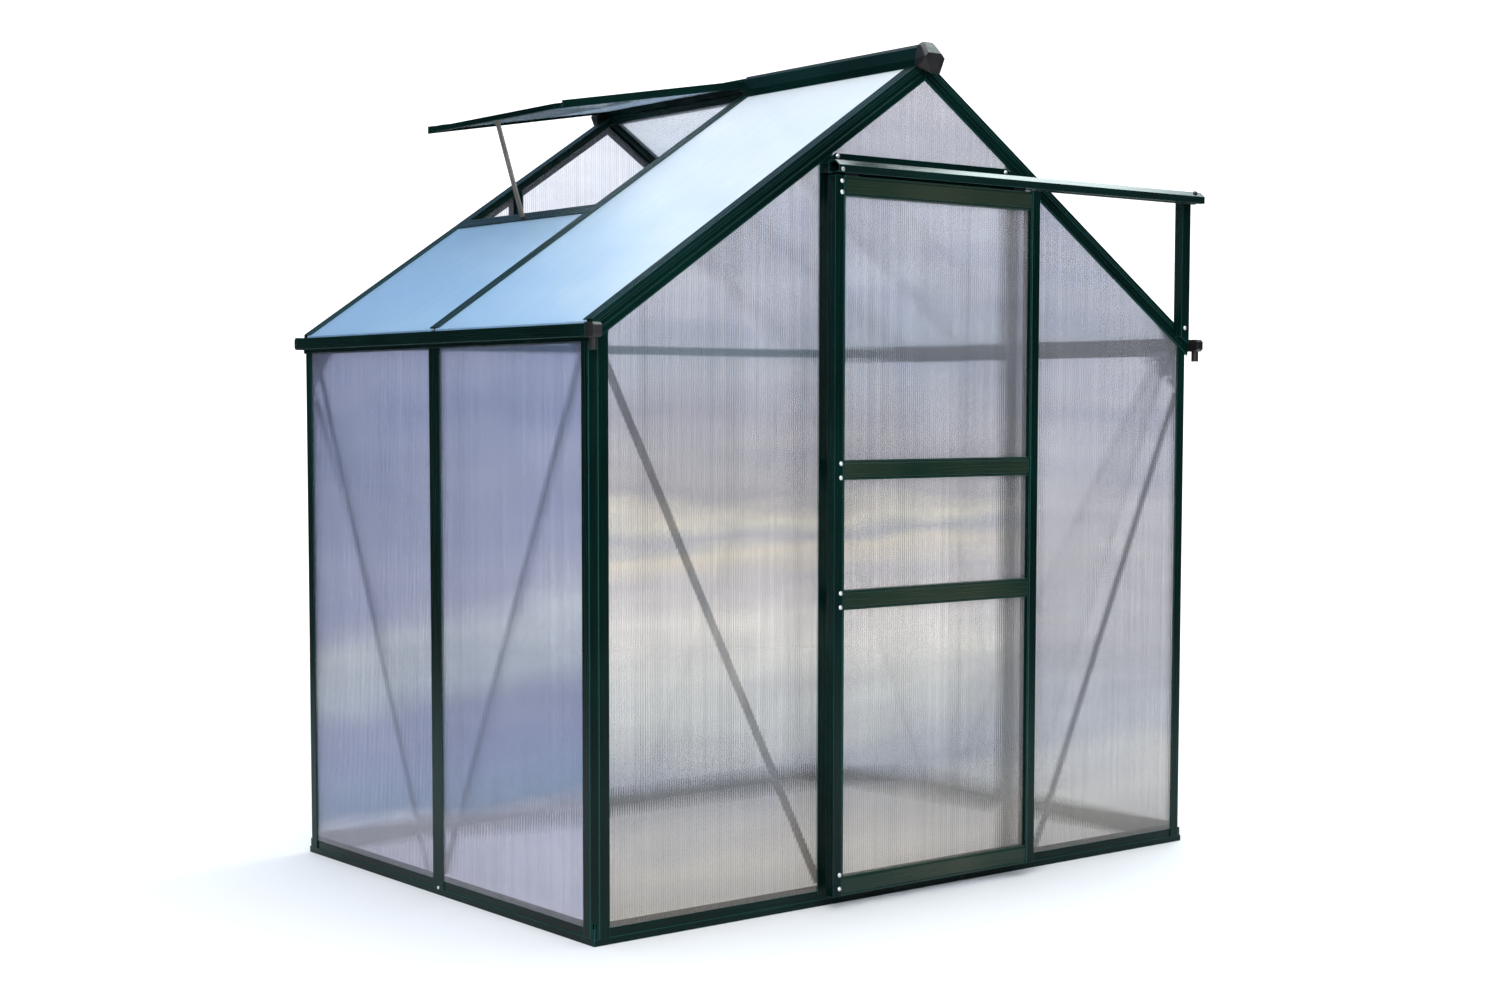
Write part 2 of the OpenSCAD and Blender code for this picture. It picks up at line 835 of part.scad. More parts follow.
// Front gable: one brace runs to the foot of the left jamb, the other stands on the sill
module gable_braces() {
    head_z = beam_foot - edge_gap;
    left_foot = [2 * edge_gap - jamb_tube, sill_upstand + edge_gap];
    left_head = [brace_w / 2 + tube_in - half_w - edge_gap, head_z];
    brace(left_foot, left_head);
    brace([jamb_out + brace_step, sill_t], [half_w - tube_in + edge_gap, head_z - brace_drop]);
}

// Side wall: a pair from the eave corners towards the foot of the middle post
module side_braces(turn) {
    head_z = beam_foot - edge_gap;
    brace([-turn * side_step, sill_t], [-turn * (mid_y - brace_in - brace_w / 2 - edge_gap), head_z]);
    brace([-turn * edge_gap, sill_upstand + edge_gap], [turn * (mid_y - side_head), head_z]);
}

module eave_gussets() {
    color(bare_metal) house() {
        for (turn = [0, 1])
            mirror([turn, 0, 0]) {
                gable_gusset();
                at_back() gable_gusset();
            }
        at_left() side_gussets();
        at_right() side_gussets();
    }
}

// Gusset plate inside a front wall, along the left rafter's foot and down the post
module gable_gusset() {
    near = half_w - gusset_in;
    far = near - rafter_gusset * cos(roof_pitch);
    high = roof_z(near, rafter_in);
    plate([
        [-near, high], [-far, roof_z(far, rafter_in)], [-near, high - rafter_gusset]
    ], brace_in, gusset_in);
}

// The two gusset plates inside a side wall, under its gutter
module side_gussets() {
    far = mid_y - gusset_in;
    high = beam_foot + gutter_lap;
    for (side = [-1, 1])
        plate([[side * far, high], [side * (far - gusset), high], [side * far, high - gusset]],
            beam_in, beam_in + brace_t);
}

module back_tie() {
    half = half_w - beam_in - 2 * brace_t;
    foot = gutter_floor + edge_gap;
    color(frame_colour) house() at_back()
        block([-half, gusset_in, foot], [half, gusset_in + tie_t, foot + tie_h]);
}

// Track: a box with a sloped strip along its top edge and a slot under it for the hangers
module door_track() {
    high = track_z + track_h;
    color(frame_colour) house() difference() {
        bar([
            [track_back, track_z], [track_back, high], [strip_y, high],
            [track_front, high - track_slope], [track_front, track_z]
        ], -jamb_out, track_end);
        bar([
            [track_back - track_t, track_z + track_t], [track_back - track_t, high - track_t],
            [strip_y + track_t / 2, high - track_t],
            [track_front + track_t, high - track_slope - track_t / 2],
            [track_front + track_t, track_z + track_t]
        ], -jamb_out - past, track_end + past);
        bar([
            [door_mid - track_slot / 2, track_z - past], [door_mid + track_slot / 2, track_z - past],
            [door_mid + track_slot / 2, track_z + track_t + past],
            [door_mid - track_slot / 2, track_z + track_t + past]
        ], -jamb_out - past, track_end + past);
    }
}

// Brackets that carry the track off the jambs
module track_brackets() {
    inset = track_t;
    color(frame_colour) house() {
        for (side = [-1, 1])
            plate([
                [side * (door_half + inset), track_z + inset], [side * (jamb_out - inset), track_z + inset],
                [side * (jamb_out - inset), roof_z(jamb_out, rafter_face)],
                [side * (door_half + inset), roof_z(jamb_out, rafter_face)]
            ], track_back, 0);
    }
}

// Angle that stands on the right rafter's foot and carries the track's far end
module track_support() {
    leg = sill_t;
    support_x = half_w - support_in;
    far = support_x + support_w;
    high = track_z + track_h - track_slope;
    color(frame_colour) house() {
        gable_column(support_x, far, high, track_back, track_back + leg);
        gable_column(support_x, support_x + leg, high, track_back, -bead_out);
        plate([
            [support_x, roof_z(support_x, support_foot)], [far, roof_z(far, support_foot)],
            [far, roof_z(far)], [support_x, roof_z(support_x)]
        ], -bead_out - leg, -bead_out);
    }
}

// An upright strip in front of the right rafter, from its face up to a height
module gable_column(x1, x2, high, y1, y2) {
    plate([
        [x1, roof_z(x1, support_foot)], [x2, roof_z(x2, support_foot)], [x2, high], [x1, high]
    ], y1, y2);
}

door_x = door_w / 2;
stile_in = door_x - stile_w;
rail_feet = [door_foot, low_rail_z, high_rail_z, door_top - rail_h];

// Stiles: hollow bars with a groove that holds the sheets and a fine groove along the front
module door_stiles() {
    groove = [door_mid - sheet_lip, door_mid + sheet_lip];
    color(frame_colour) house() {
        for (turn = [0, 1])
            mirror([turn, 0, 0])
                difference() {
                    block([stile_in, door_front, door_foot], [door_x, door_back, door_top]);
                    block(
                        [stile_in + let_in + tube_wall, door_front + tube_wall, door_foot - past],
                        [door_x - tube_wall, door_back - tube_wall, door_top + past]
                    );
                    block(
                        [stile_in - past, groove[0], door_foot - past],
                        [stile_in + let_in, groove[1], door_top + past]
                    );
                    block(
                        [stile_in + rail_bead, door_front - past, door_foot - past],
                        [stile_in + 2 * rail_bead, door_front + flange_t / 2, door_top + past]
                    );
                }
    }
}

// Section of a rail in Y and Z: a fine groove along its foot, a raised face, a bevel and a bead
rail_front = door_front + flange_t;
rail_back = door_back - flange_t;
rail_face = door_front + flange_t / 2;
function rail_section(foot, high) = [
    [rail_back, foot], [rail_back, high], [rail_front, high], [rail_front, high - rail_bead],
    [rail_front + rail_bead, high - rail_bead], [rail_face, high - 2 * rail_bead - flange_t],
    [rail_face, foot + 2 * rail_bead], [rail_front + rail_bead, foot + 2 * rail_bead],
    [rail_front + rail_bead, foot + rail_bead], [rail_front, foot + rail_bead], [rail_front, foot]
];

// Rails: bars between the stiles, grooved above and below where a sheet enters them
module door_rails() {
    groove = [door_mid - sheet_lip, door_mid + sheet_lip];
    last = len(rail_feet) - 1;
    color(frame_colour) house() {
        for (i = [0:last])
            difference() {
                bar(rail_section(rail_feet[i], rail_feet[i] + rail_h), -stile_in, stile_in);
                if (i > 0)
                    block(
                        [-stile_in - past, groove[0], rail_feet[i] - past],
                        [stile_in + past, groove[1], rail_feet[i] + let_in]
                    );
                if (i < last)
                    block(
                        [-stile_in - past, groove[0], rail_feet[i] + rail_h - let_in],
                        [stile_in + past, groove[1], rail_feet[i] + rail_h + past]
                    );
            }
    }
}

// Sheets let into the grooves of the stiles and rails
module door_sheets() {
    held = let_in - sheet_room;
    color(sheet_colour, 0.6) house() {
        for (i = [0:len(rail_feet) - 2])
            block(
                [-stile_in - held, door_mid - sheet_lip, rail_feet[i] + rail_h - held],
                [stile_in + held, door_mid + sheet_lip, rail_feet[i + 1] + held]
            );
    }
}

hanger_x = door_x - 2 * stile_w;
hanger_w = 40;
hanger_t = 4;
axle_z = track_z + track_t + roller_gap + roller_d / 2;

// Hanger plates that stand on the door's top rail and reach up through the slot
module door_hangers() {
    color(bare_metal) house() {
        for (side = [-1, 1])
            block(
                [side * hanger_x - hanger_w / 2, door_mid - hanger_t / 2, door_top],
                [side * hanger_x + hanger_w / 2, door_mid + hanger_t / 2, axle_z + roller_d / 4]
            );
    }
}

// Rollers on both faces of each hanger plate, running on the lips of the track
module door_rollers() {
    width = (track_back - track_front) / 2 - track_t - hanger_t / 2 - door_room;
    color(cap_colour) house() {
        for (side = [-1, 1], face = [0, 1])
            translate([side * hanger_x, door_mid, axle_z])
                mirror([0, face, 0])
                    translate([0, hanger_t / 2, 0])
                        rotate([-90, 0, 0])
                            cylinder(d = roller_d, h = width, $fn = 48);
    }
}

front_sill();
back_sill();
left_sill();
right_sill();
front_left_post();
front_right_post();
back_left_post();
back_right_post();
left_middle_post();
right_middle_post();
back_studs();
door_jambs();
door_header();
front_left_rafter();
front_right_rafter();
back_left_rafter();
back_right_rafter();
left_roof_bar();
right_roof_bar();
left_gutter();
right_gutter();
gutter_end_caps();
ridge();
ridge_hoods();
front_wall_sheets();
back_wall_sheets();
left_wall_sheets();
right_wall_sheets();
left_roof_sheets();
right_roof_sheets();
vent_cross_bar();
vent_frame();
vent_sheet();
vent_stay();
wall_braces();
eave_gussets();
back_tie();
door_track();
track_brackets();
track_support();
door_stiles();
door_rails();
door_sheets();
door_hangers();
door_rollers();
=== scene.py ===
import math

import bpy
import numpy as np
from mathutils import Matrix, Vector


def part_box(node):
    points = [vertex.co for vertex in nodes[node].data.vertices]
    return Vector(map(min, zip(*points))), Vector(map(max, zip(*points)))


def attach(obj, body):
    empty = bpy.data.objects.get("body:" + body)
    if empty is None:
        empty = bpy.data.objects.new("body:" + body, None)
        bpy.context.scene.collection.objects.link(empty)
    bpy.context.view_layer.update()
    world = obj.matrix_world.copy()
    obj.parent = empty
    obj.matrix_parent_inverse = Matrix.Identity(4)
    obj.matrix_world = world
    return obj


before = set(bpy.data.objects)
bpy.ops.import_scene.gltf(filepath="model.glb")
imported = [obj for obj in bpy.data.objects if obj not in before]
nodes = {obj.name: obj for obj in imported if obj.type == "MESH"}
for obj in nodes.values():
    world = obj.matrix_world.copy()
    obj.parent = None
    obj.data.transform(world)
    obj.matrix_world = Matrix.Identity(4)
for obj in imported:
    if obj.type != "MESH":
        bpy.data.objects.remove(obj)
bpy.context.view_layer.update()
scene = bpy.context.scene
print("frame loaded,", len(nodes), "nodes")


# Mesh helpers

mergeDigits, orderDigits = 5, 3    # decimals of a metre: for one place, and for the order of the solids


def looseSolids(node):
    # corners at one place count as one; each triangle then hands its lowest label to its corners,
    # again and again until no label changes
    mesh = nodes[node].data
    corners = np.empty(len(mesh.vertices) * 3)
    mesh.vertices.foreach_get("co", corners)
    places, which = np.unique(corners.reshape(-1, 3).round(mergeDigits), axis=0, return_inverse=True)
    loops = np.empty(len(mesh.loops), int)
    mesh.loops.foreach_get("vertex_index", loops)
    triangles = which.ravel()[loops].reshape(-1, 3)
    label = np.arange(len(places))
    before = None
    while before is None or (label != before).any():
        before = label.copy()
        np.minimum.at(label, triangles, before[triangles].min(axis=1)[:, None])
    solids = [places[label == k] for k in np.unique(label)]
    return sorted(solids, key=lambda solid: tuple(solid.mean(axis=0).round(orderDigits)))


def addPiece(name, points, faces, body, slotName, material, smooth=False):
    mesh = bpy.data.meshes.new(name)
    mesh.from_pydata(points.reshape(-1, 3).tolist(), [], faces)
    mesh.polygons.foreach_set("use_smooth", np.full(len(mesh.polygons), smooth))
    mesh.materials.append(material)
    mesh.update()
    piece = bpy.data.objects.new(name, mesh)
    scene.collection.objects.link(piece)
    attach(piece, body)
    return piece


# Node helpers

def setInputs(tree, node, values):
    # an output is linked, anything else is set on the socket
    for key, value in values.items():
        if isinstance(value, bpy.types.NodeSocket):
            tree.links.new(value, node.inputs[key])
        else:
            node.inputs[key].default_value = value


def addNode(tree, kind, values=None, **settings):
    node = tree.nodes.new("ShaderNode" + kind)
    for key, value in settings.items():
        setattr(node, key, value)
    setInputs(tree, node, values or {})
    return node


def calculate(tree, operation, first, second=0.0, **settings):
    return addNode(tree, "Math", {0: first, 1: second}, operation=operation, **settings).outputs["Value"]


def spreadFrom(tree, value, ends):
    # the stretch between the two ends becomes 0 to 1
    span = addNode(tree, "MapRange", {"Value": value, "From Min": ends[0], "From Max": ends[1]})
    return span.outputs["Result"]


def spreadTo(tree, value, ends):
    # 0 to 1 becomes the stretch between the two ends
    span = addNode(tree, "MapRange", {"Value": value, "To Min": ends[0], "To Max": ends[1]})
    return span.outputs["Result"]


def mixTones(tree, share, first, second, blend="MIX"):
    # a tone is an output, or three numbers
    tones = [tone if isinstance(tone, bpy.types.NodeSocket) else (*tone, 1) for tone in (first, second)]
    mixed = addNode(tree, "MixRGB", {"Fac": share, "Color1": tones[0], "Color2": tones[1]}, blend_type=blend)
    return mixed.outputs["Color"]


def mapped(tree, vector, **moves):
    values = {key.capitalize(): value for key, value in moves.items()}
    return addNode(tree, "Mapping", {"Vector": vector, **values}).outputs["Vector"]


def rampOver(tree, value, stops):
    ramp = addNode(tree, "ValToRGB", {"Fac": value})
    elements = ramp.color_ramp.elements
    while len(elements) < len(stops):
        elements.new(0.5)
    for element, (at, colour) in zip(elements, stops):
        element.position = at
        element.color = (*colour, 1)
    return ramp.outputs["Color"]


def newGroup(name, inputs, outputs):
    tree = bpy.data.node_groups.new(name, "ShaderNodeTree")
    for label, kind in inputs.items():
        tree.interface.new_socket(label, in_out="INPUT", socket_type="NodeSocket" + kind)
    for label, kind in outputs.items():
        tree.interface.new_socket(label, in_out="OUTPUT", socket_type="NodeSocket" + kind)
    return tree, tree.nodes.new("NodeGroupInput").outputs, tree.nodes.new("NodeGroupOutput")


def useGroup(tree, group, values):
    return addNode(tree, "Group", values, node_tree=group).outputs


def newMaterial(name):
    material = bpy.data.materials.new(name)
    material.use_nodes = True
    tree = material.node_tree
    tree.nodes.clear()
    shader = addNode(tree, "BsdfPrincipled")
    addNode(tree, "OutputMaterial", {"Surface": shader.outputs["BSDF"]})
    return material, tree, shader, addNode(tree, "TexCoord").outputs["Object"]


# Shared effects: lines left by extruding, softened edges with a mask for painted highlights, slow clouds,
# moulded grain, height bands for painted reflections and the lean of the flutes

effects = {
    "lineDetail": 3.0, "lineSpread": (0.3, 0.7), "cloudDetail": 2.0, "cloudSpread": (0.32, 0.68),
    "grainDetail": 2.0, "bandDetail": 3.0, "bandStretch": (1.3, 1.3, 5.0), "bevelSamples": 6,
}


def noiseOver(tree, vector, scale, detail):
    return addNode(tree, "TexNoise", {"Vector": vector, "Scale": scale, "Detail": detail}).outputs["Fac"]


def makeExtrusionLines():
    # noise with its contrast raised; the material pulls it out along the section
    tree, given, out = newGroup("extrusionLines", {"Vector": "Vector", "Fineness": "Float"},
                                {"Lines": "Float"})
    noise = noiseOver(tree, given["Vector"], given["Fineness"], effects["lineDetail"])
    setInputs(tree, out, {"Lines": spreadFrom(tree, noise, effects["lineSpread"])})
    return tree


def makeSoftEdge():
    # the bevelled normal leaves the flat one only near an edge, so one minus their dot product marks edges
    tree, given, out = newGroup("softEdge", {"Radius": "Float", "Reach": "Float"},
                                {"Normal": "Vector", "Edge": "Float"})
    bevel = addNode(tree, "Bevel", {"Radius": given["Radius"]}, samples=effects["bevelSamples"])
    flat = addNode(tree, "NewGeometry")
    dot = addNode(tree, "VectorMath", {0: bevel.outputs["Normal"], 1: flat.outputs["True Normal"]},
                  operation="DOT_PRODUCT")
    away = calculate(tree, "SUBTRACT", 1.0, dot.outputs["Value"])
    # the edge mask marks where the materials paint a highlight along the edges
    edge = calculate(tree, "MULTIPLY", away, given["Reach"], use_clamp=True)
    setInputs(tree, out, {"Normal": bevel.outputs["Normal"], "Edge": edge})
    return tree


def makeSlowCloud():
    tree, given, out = newGroup("slowCloud", {"Vector": "Vector", "Scale": "Float"}, {"Cloud": "Float"})
    noise = noiseOver(tree, given["Vector"], given["Scale"], effects["cloudDetail"])
    setInputs(tree, out, {"Cloud": spreadFrom(tree, noise, effects["cloudSpread"])})
    return tree


def makeMouldedGrain():
    # distance within small cells, times noise of the same size
    tree, given, out = newGroup("mouldedGrain", {"Vector": "Vector", "Scale": "Float"}, {"Grain": "Float"})
    cells = addNode(tree, "TexVoronoi", {"Vector": given["Vector"], "Scale": given["Scale"]})
    noise = noiseOver(tree, given["Vector"], given["Scale"], effects["grainDetail"])
    setInputs(tree, out, {"Grain": calculate(tree, "MULTIPLY", cells.outputs["Distance"], noise)})
    return tree


def makePaintedReflectionBands():
    # the sheets paint their reflections over these bands
    # height from 0 to 1 between Low and High, moved up and down by slow noise that is stretched level
    tree, given, out = newGroup("paintedReflectionBands", {"Vector": "Vector", "Low": "Float", "High": "Float",
                                                "Shake": "Float"}, {"Band": "Float"})
    level = addNode(tree, "VectorMath", {0: given["Vector"], 1: effects["bandStretch"]}, operation="MULTIPLY")
    noise = noiseOver(tree, level.outputs["Vector"], 1.0, effects["bandDetail"])
    shaken = calculate(tree, "MULTIPLY", calculate(tree, "SUBTRACT", noise, 0.5), given["Shake"])
    parts = addNode(tree, "SeparateXYZ", {"Vector": given["Vector"]})
    height = calculate(tree, "ADD", parts.outputs["Z"], shaken)
    setInputs(tree, out, {"Band": spreadFrom(tree, height, (given["Low"], given["High"]))})
    return tree


def makeFluteNormal():
    # the normal leans from side to side across the flutes as a sine, so what lies behind smears across them
    tree, given, out = newGroup("fluteNormal", {"Vector": "Vector", "Across": "Vector", "Count": "Float",
                                                "Lean": "Float"}, {"Normal": "Vector"})
    along = addNode(tree, "VectorMath", {0: given["Vector"], 1: given["Across"]}, operation="DOT_PRODUCT")
    turns = calculate(tree, "MULTIPLY", along.outputs["Value"], given["Count"])
    wave = calculate(tree, "SINE", calculate(tree, "MULTIPLY", turns, 2 * math.pi))
    lean = calculate(tree, "MULTIPLY", wave, given["Lean"])
    sideways = addNode(tree, "VectorMath", {0: given["Across"], "Scale": lean}, operation="SCALE")
    flat = addNode(tree, "NewGeometry")
    added = addNode(tree, "VectorMath", {0: flat.outputs["Normal"], 1: sideways.outputs["Vector"]},
                    operation="ADD")
    unit = addNode(tree, "VectorMath", {0: added.outputs["Vector"]}, operation="NORMALIZE")
    setInputs(tree, out, {"Normal": unit.outputs["Vector"]})
    return tree


extrusionLines = makeExtrusionLines()
softEdge = makeSoftEdge()
slowCloud = makeSlowCloud()
mouldedGrain = makeMouldedGrain()
paintedReflectionBands = makePaintedReflectionBands()
fluteNormal = makeFluteNormal()
print("shader groups built")


# Finishes

# the edge tone is a painted highlight: a light teal painted along every edge of the dark paint
greenPaint = {
    "deep": (0.0008, 0.0080, 0.0068), "light": (0.0016, 0.0170, 0.0140), "edge": (0.030, 0.160, 0.145),
    "gloss": (0.18, 0.30), "shine": 0.11, "lines": 520.0, "cloud": 2.6, "bevel": 0.0016, "reach": 3.0,
    "bump": 0.00006, "bumpShare": 0.35,
}
trackPaint = dict(greenPaint, shine=0.42)
# the tie is green like the frame; its lighter teal tones are painted light, standing in for light scattered
# by the sheets in front
tieHazePaint = dict(greenPaint, deep=(0.040, 0.135, 0.165), light=(0.060, 0.180, 0.215), edge=(0.10, 0.26, 0.30))
# the rails' lighter olive tones are a painted reflection, a sheen painted into the colour; the shine is real
# gloss
railSheenPaint = dict(greenPaint, deep=(0.007, 0.023, 0.015), light=(0.031, 0.043, 0.028), shine=0.20)


def paintAlong(name, turn, stretch, spec=greenPaint):
    # turn lays the section's length on an axis, stretch then pulls the lines out along it
    material, tree, shader, place = newMaterial(name)
    drawn = mapped(tree, mapped(tree, place, rotation=turn), scale=stretch)
    lines = useGroup(tree, extrusionLines, {"Vector": drawn, "Fineness": spec["lines"]})["Lines"]
    cloud = useGroup(tree, slowCloud, {"Vector": place, "Scale": spec["cloud"]})["Cloud"]
    edge = useGroup(tree, softEdge, {"Radius": spec["bevel"], "Reach": spec["reach"]})
    body = mixTones(tree, cloud, spec["deep"], spec["light"])
    bump = addNode(tree, "Bump", {"Height": lines, "Normal": edge["Normal"], "Strength": spec["bumpShare"],
                                  "Distance": spec["bump"]})
    setInputs(tree, shader, {
        # painted highlight: near an edge the paint turns to the light edge tone
        "Base Color": mixTones(tree, edge["Edge"], body, spec["edge"]),
        "Roughness": spreadTo(tree, lines, spec["gloss"]),
        "Normal": bump.outputs["Normal"],
        "Specular IOR Level": spec["shine"],
    })
    return material


drawnOut = 0.012    # a pattern is this much slower along the section than across it
alongX = (drawnOut, 1.0, 1.0)
alongY = (1.0, drawnOut, 1.0)
alongZ = (1.0, 1.0, drawnOut)
roofPitch = math.radians(33.5)
noTurn = (0.0, 0.0, 0.0)
paintUpright = paintAlong("green_paint_upright", noTurn, alongZ)
paintAcross = paintAlong("green_paint_across", noTurn, alongX)
paintDeep = paintAlong("green_paint_deep", noTurn, alongY)
paintLeftSlope = paintAlong("green_paint_left_slope", (0.0, roofPitch, 0.0), alongX)
paintRightSlope = paintAlong("green_paint_right_slope", (0.0, -roofPitch, 0.0), alongX)
paintTrack = paintAlong("green_paint_track", noTurn, alongX, trackPaint)
paintRailSheen = paintAlong("green_paint_rail_painted_sheen", noTurn, alongX, railSheenPaint)
paintTieHaze = paintAlong("green_paint_tie_painted_haze", noTurn, alongX, tieHazePaint)

bareMetal = {
    "dark": (0.075, 0.090, 0.130), "light": (0.14, 0.16, 0.21), "gloss": (0.34, 0.52), "metallic": 0.85,
    "lines": 380.0, "cloud": 14.0, "bump": 0.0001, "bumpShare": 0.3,
}
stayRod = dict(bareMetal, dark=(0.34, 0.32, 0.29), light=(0.52, 0.49, 0.45))
brightZinc = dict(bareMetal, dark=(0.70, 0.71, 0.72), light=(0.92, 0.93, 0.94))


def millFinish(name, stretch, spec):
    material, tree, shader, place = newMaterial(name)
    drawn = mapped(tree, place, scale=stretch)
    lines = useGroup(tree, extrusionLines, {"Vector": drawn, "Fineness": spec["lines"]})["Lines"]
    cloud = useGroup(tree, slowCloud, {"Vector": place, "Scale": spec["cloud"]})["Cloud"]
    bump = addNode(tree, "Bump", {"Height": lines, "Strength": spec["bumpShare"], "Distance": spec["bump"]})
    setInputs(tree, shader, {
        "Base Color": mixTones(tree, calculate(tree, "MULTIPLY", lines, cloud), spec["dark"], spec["light"]),
        "Roughness": spreadTo(tree, cloud, spec["gloss"]),
        "Normal": bump.outputs["Normal"],
        "Metallic": spec["metallic"],
    })
    return material


flatMetal = millFinish("bare_metal_flat", alongZ, bareMetal)
stayMetal = millFinish("bare_metal_stay", alongZ, stayRod)
boltMetal = millFinish("bright_zinc", (1.0, 1.0, 1.0), brightZinc)

# the rubbed tone is a painted highlight: a lighter grey painted along the edges of the black plastic
blackPlastic = {
    "dark": (0.007, 0.0065, 0.007), "light": (0.016, 0.0145, 0.0145), "edgeHighlightTone": (0.05, 0.047, 0.046),
    "gloss": (0.36, 0.52), "grain": 1400.0, "cloud": 22.0, "bevel": 0.0022, "reach": 2.0,
    "bump": 0.0002, "bumpShare": 0.3,
}


def mouldedPlastic(name, spec):
    material, tree, shader, place = newMaterial(name)
    grain = useGroup(tree, mouldedGrain, {"Vector": place, "Scale": spec["grain"]})["Grain"]
    cloud = useGroup(tree, slowCloud, {"Vector": place, "Scale": spec["cloud"]})["Cloud"]
    edge = useGroup(tree, softEdge, {"Radius": spec["bevel"], "Reach": spec["reach"]})
    body = mixTones(tree, cloud, spec["dark"], spec["light"])
    bump = addNode(tree, "Bump", {"Height": grain, "Normal": edge["Normal"], "Strength": spec["bumpShare"],
                                  "Distance": spec["bump"]})
    setInputs(tree, shader, {
        # painted highlight: near an edge the plastic turns to the lighter edge tone
        "Base Color": mixTones(tree, edge["Edge"], body, spec["edgeHighlightTone"]),
        "Roughness": spreadTo(tree, cloud, spec["gloss"]),
        "Normal": bump.outputs["Normal"],
    })
    return material


capPlastic = mouldedPlastic("black_moulded_plastic", blackPlastic)

# what all the sheets share: flutes to the metre and their lean, and the size of streaks, lines and clouds
sheetMake = {
    "count": 154.0, "lean": 0.10, "ior": 1.36, "levelStretch": (1.0, 1.0, 6.0), "streaks": 1.7,
    "lines": 88.0, "cloud": 3.1,
}
# the stops are the sheet's own lavender grey with painted reflections in it: the cream, white and grey bands
# by height
frontSheet = {
    "low": 0.0, "high": 1.75, "tilt": 0.0, "shake": 0.24, "gloss": (0.01, 0.03), "through": 0.85,
    "streak": (0.89, 0.89, 0.92), "line": (0.85, 0.86, 0.88),
    "stops": [(0.0, (0.80, 0.73, 0.63)), (0.09, (0.82, 0.75, 0.66)), (0.18, (0.60, 0.60, 0.62)),
              (0.24, (0.78, 0.76, 0.72)), (0.32, (1.0, 0.97, 0.88)), (0.39, (1.0, 0.96, 0.88)),
              (0.44, (0.79, 0.76, 0.74)), (0.475, (0.91, 0.84, 0.71)), (0.495, (0.67, 0.67, 0.67)),
              (0.515, (0.88, 0.83, 0.71)), (0.55, (0.63, 0.61, 0.60)), (0.64, (0.61, 0.60, 0.62)),
              (0.73, (0.61, 0.64, 0.69)), (0.82, (0.74, 0.74, 0.78)), (1.0, (0.83, 0.80, 0.81))],
}
# right of the door the painted reflections are calmer, so the tones fade over to these stops along x
frontCalm = {
    "ends": (0.10, 0.38),
    "stops": [(0.0, (0.82, 0.76, 0.68)), (0.10, (0.82, 0.77, 0.70)), (0.20, (0.70, 0.69, 0.70)),
              (0.45, (0.70, 0.69, 0.70)), (0.74, (0.67, 0.67, 0.71)), (1.0, (0.80, 0.79, 0.82))],
}
# the walls seen only through another wall are plainer, because each sheet dims what is behind it
backSheet = dict(frontSheet, stops=[(0.0, (0.90, 0.89, 0.90)), (0.45, (0.96, 0.95, 0.95)),
                                    (0.75, (0.91, 0.91, 0.95)), (1.0, (0.88, 0.91, 0.97))])
# the bands by height are painted reflections; the tilt lets the blue band near the foot sink towards the back
sideSheet = {
    "low": 0.0, "high": 1.35, "tilt": 11.5, "shake": 0.14, "gloss": (0.01, 0.03), "through": 0.85,
    "streak": (0.90, 0.92, 0.96), "line": (0.84, 0.86, 0.90),
    "stops": [(0.0, (0.86, 0.82, 0.89)), (0.125, (0.84, 0.80, 0.88)), (0.155, (0.40, 0.48, 0.62)),
              (0.19, (0.41, 0.47, 0.63)), (0.25, (0.42, 0.44, 0.62)), (0.31, (0.50, 0.51, 0.66)),
              (0.36, (0.69, 0.72, 0.78)), (0.46, (0.74, 0.77, 0.81)), (0.51, (0.57, 0.59, 0.72)),
              (0.60, (0.50, 0.53, 0.68)), (0.84, (0.46, 0.50, 0.66)), (1.0, (0.50, 0.53, 0.69))],
}
farSideSheet = dict(sideSheet, tilt=0.0, stops=[(0.0, (0.90, 0.88, 0.88)), (0.5, (0.95, 0.93, 0.93)),
                                                (1.0, (0.92, 0.92, 0.96))])
# the tilt makes the front of the roof count as higher, because its painted glare is whiter there
roofSheet = {
    "low": 1.0, "high": 2.05, "tilt": -20.0, "shake": 0.18, "gloss": (0.03, 0.06), "through": 0.46,
    "streak": (0.92, 0.95, 0.99), "line": (0.94, 0.96, 0.99),
    "stops": [(0.0, (0.43, 0.63, 0.85)), (0.28, (0.45, 0.66, 0.86)), (0.42, (0.55, 0.74, 0.91)),
              (0.58, (0.84, 0.92, 0.98)), (0.72, (0.95, 0.98, 1.0)), (1.0, (0.97, 0.99, 1.0))],
}
ventSheet = dict(roofSheet, through=0.70, stops=[(0.0, (0.52, 0.68, 0.82)), (1.0, (0.74, 0.84, 0.92))])
farRoofSheet = dict(roofSheet, through=0.80, stops=[(0.0, (0.84, 0.87, 0.94)), (1.0, (0.96, 0.97, 1.0))])


